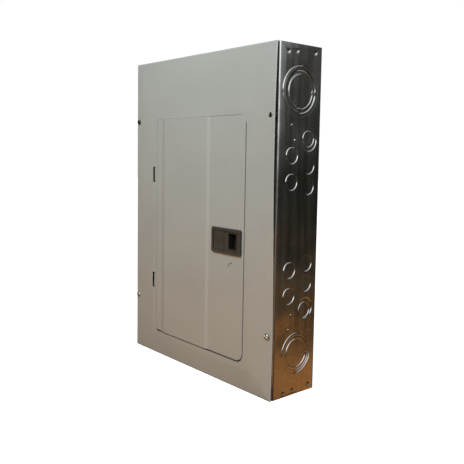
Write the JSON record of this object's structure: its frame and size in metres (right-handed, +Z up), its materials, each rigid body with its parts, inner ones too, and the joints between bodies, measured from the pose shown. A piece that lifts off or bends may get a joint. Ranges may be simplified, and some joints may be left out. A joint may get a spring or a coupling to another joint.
{
  "type": "residential load center",
  "caption": "Flush-mount residential load center: galvanised box with knockouts, grey pan-shaped trim cover, hinged door with slide latch, dead front, main and branch breakers on a bus.",
  "frame": {"origin": "under the middle of the bounding box, on the plane of the bottom end wall", "axes": "+Z up along the height of the box, -Y out of the door towards the user, +X to the user's right (latch side)"},
  "size_m": [0.3634, 0.1056, 0.5334],
  "materials": {
    "galvanised_steel": "hot-dip galvanised sheet, semi-bright, fine rolling marks",
    "grey_paint": "light grey semi-gloss powder coat, very fine texture",
    "shield_paint": "light grey powder coat",
    "zinc_screw": "clear zinc plate",
    "spring_steel": "spring wire",
    "charcoal_plastic": "moulded, satin",
    "directory_card": "matt card",
    "bus_insulator": "moulded thermoset",
    "tinned_aluminium": "tin plated, satin",
    "copper_strap": "bare copper",
    "black_case": "moulded thermoset",
    "toggle_plastic": "moulded, satin gloss"
  },
  "bodies": {
    "box": {"enclosure_wrap": "galvanised_steel", "top_end_wall": "galvanised_steel", "bottom_end_wall": "galvanised_steel", "mounting_pan": "galvanised_steel", "breaker_rail_left": "galvanised_steel", "breaker_rail_right": "galvanised_steel", "trim_cover": "grey_paint", "dead_front": "shield_paint", "cover_screw_1": "zinc_screw", "cover_screw_2": "zinc_screw", "cover_screw_3": "zinc_screw", "cover_screw_4": "zinc_screw", "pan_screw_1": "zinc_screw", "pan_screw_2": "zinc_screw", "pan_screw_3": "zinc_screw", "pan_screw_4": "zinc_screw", "bus_support": "bus_insulator", "bus_bar_a": "tinned_aluminium", "bus_bar_b": "tinned_aluminium", "neutral_bar_left": "tinned_aluminium", "neutral_bar_right": "tinned_aluminium", "neutral_cross_strap": "tinned_aluminium", "neutral_lug": "tinned_aluminium", "ground_bar": "tinned_aluminium", "main_lug_left": "tinned_aluminium", "main_lug_right": "tinned_aluminium", "bonding_strap": "copper_strap", "main_breaker_case": "black_case", "neutral_support_left": "black_case", "neutral_support_right": "black_case", "double_breaker_case_1": "black_case", "single_breaker_case_2": "black_case", "single_breaker_case_3": "black_case", "single_breaker_case_4": "black_case", "single_breaker_case_5": "black_case", "double_breaker_case_6": "black_case", "double_breaker_case_7": "black_case", "single_breaker_case_8": "black_case", "single_breaker_case_9": "black_case"},
    "door": {"door_panel": "grey_paint", "latch_bezel": "charcoal_plastic", "latch_spring": "spring_steel", "circuit_directory": "directory_card"},
    "latch": {"latch_slide": "charcoal_plastic"},
    "main_handle": {"main_breaker_handle": "toggle_plastic"},
    "handle_1": {"double_breaker_handle_1": "toggle_plastic"},
    "handle_2": {"single_breaker_handle_2": "toggle_plastic"},
    "handle_3": {"single_breaker_handle_3": "toggle_plastic"},
    "handle_4": {"single_breaker_handle_4": "toggle_plastic"},
    "handle_5": {"single_breaker_handle_5": "toggle_plastic"},
    "handle_6": {"double_breaker_handle_6": "toggle_plastic"},
    "handle_7": {"double_breaker_handle_7": "toggle_plastic"},
    "handle_8": {"single_breaker_handle_8": "toggle_plastic"},
    "handle_9": {"single_breaker_handle_9": "toggle_plastic"}
  },
  "joints": [
    {"name": "door_hinge", "type": "hinge", "parent": "box", "child": "door", "pos_m": [-0.11375, -0.0487, 0.23425], "axis": [0, 0, -1], "range_deg": [0, 110]},
    {"name": "latch_slide", "type": "slide", "parent": "door", "child": "latch", "axis": [-1, 0, 0], "range_m": [0, 0.008], "stiffness_N_per_m": 300, "springref_m": -0.004, "deforming": ["latch_spring"]},
    {"name": "main_toggle", "type": "hinge", "parent": "box", "child": "main_handle", "pos_m": [0, -0.0258, 0.378], "axis": [1, 0, 0], "range_deg": [0, 40]},
    {"name": "toggle_1", "type": "hinge", "parent": "box", "child": "handle_1", "pos_m": [-0.025, -0.0258, 0.3046], "axis": [0, 0, -1], "range_deg": [0, 40]},
    {"name": "toggle_2", "type": "hinge", "parent": "box", "child": "handle_2", "pos_m": [-0.025, -0.0258, 0.2665], "axis": [0, 0, -1], "range_deg": [0, 40]},
    {"name": "toggle_3", "type": "hinge", "parent": "box", "child": "handle_3", "pos_m": [-0.025, -0.0258, 0.2411], "axis": [0, 0, -1], "range_deg": [0, 40]},
    {"name": "toggle_4", "type": "hinge", "parent": "box", "child": "handle_4", "pos_m": [-0.025, -0.0258, 0.2157], "axis": [0, 0, -1], "range_deg": [0, 40]},
    {"name": "toggle_5", "type": "hinge", "parent": "box", "child": "handle_5", "pos_m": [-0.025, -0.0258, 0.1903], "axis": [0, 0, -1], "range_deg": [0, 40]},
    {"name": "toggle_6", "type": "hinge", "parent": "box", "child": "handle_6", "pos_m": [0.025, -0.0258, 0.3046], "axis": [0, 0, 1], "range_deg": [0, 40]},
    {"name": "toggle_7", "type": "hinge", "parent": "box", "child": "handle_7", "pos_m": [0.025, -0.0258, 0.2538], "axis": [0, 0, 1], "range_deg": [0, 40]},
    {"name": "toggle_8", "type": "hinge", "parent": "box", "child": "handle_8", "pos_m": [0.025, -0.0258, 0.2157], "axis": [0, 0, 1], "range_deg": [0, 40]},
    {"name": "toggle_9", "type": "hinge", "parent": "box", "child": "handle_9", "pos_m": [0.025, -0.0258, 0.1903], "axis": [0, 0, 1], "range_deg": [0, 40]}
  ]
}
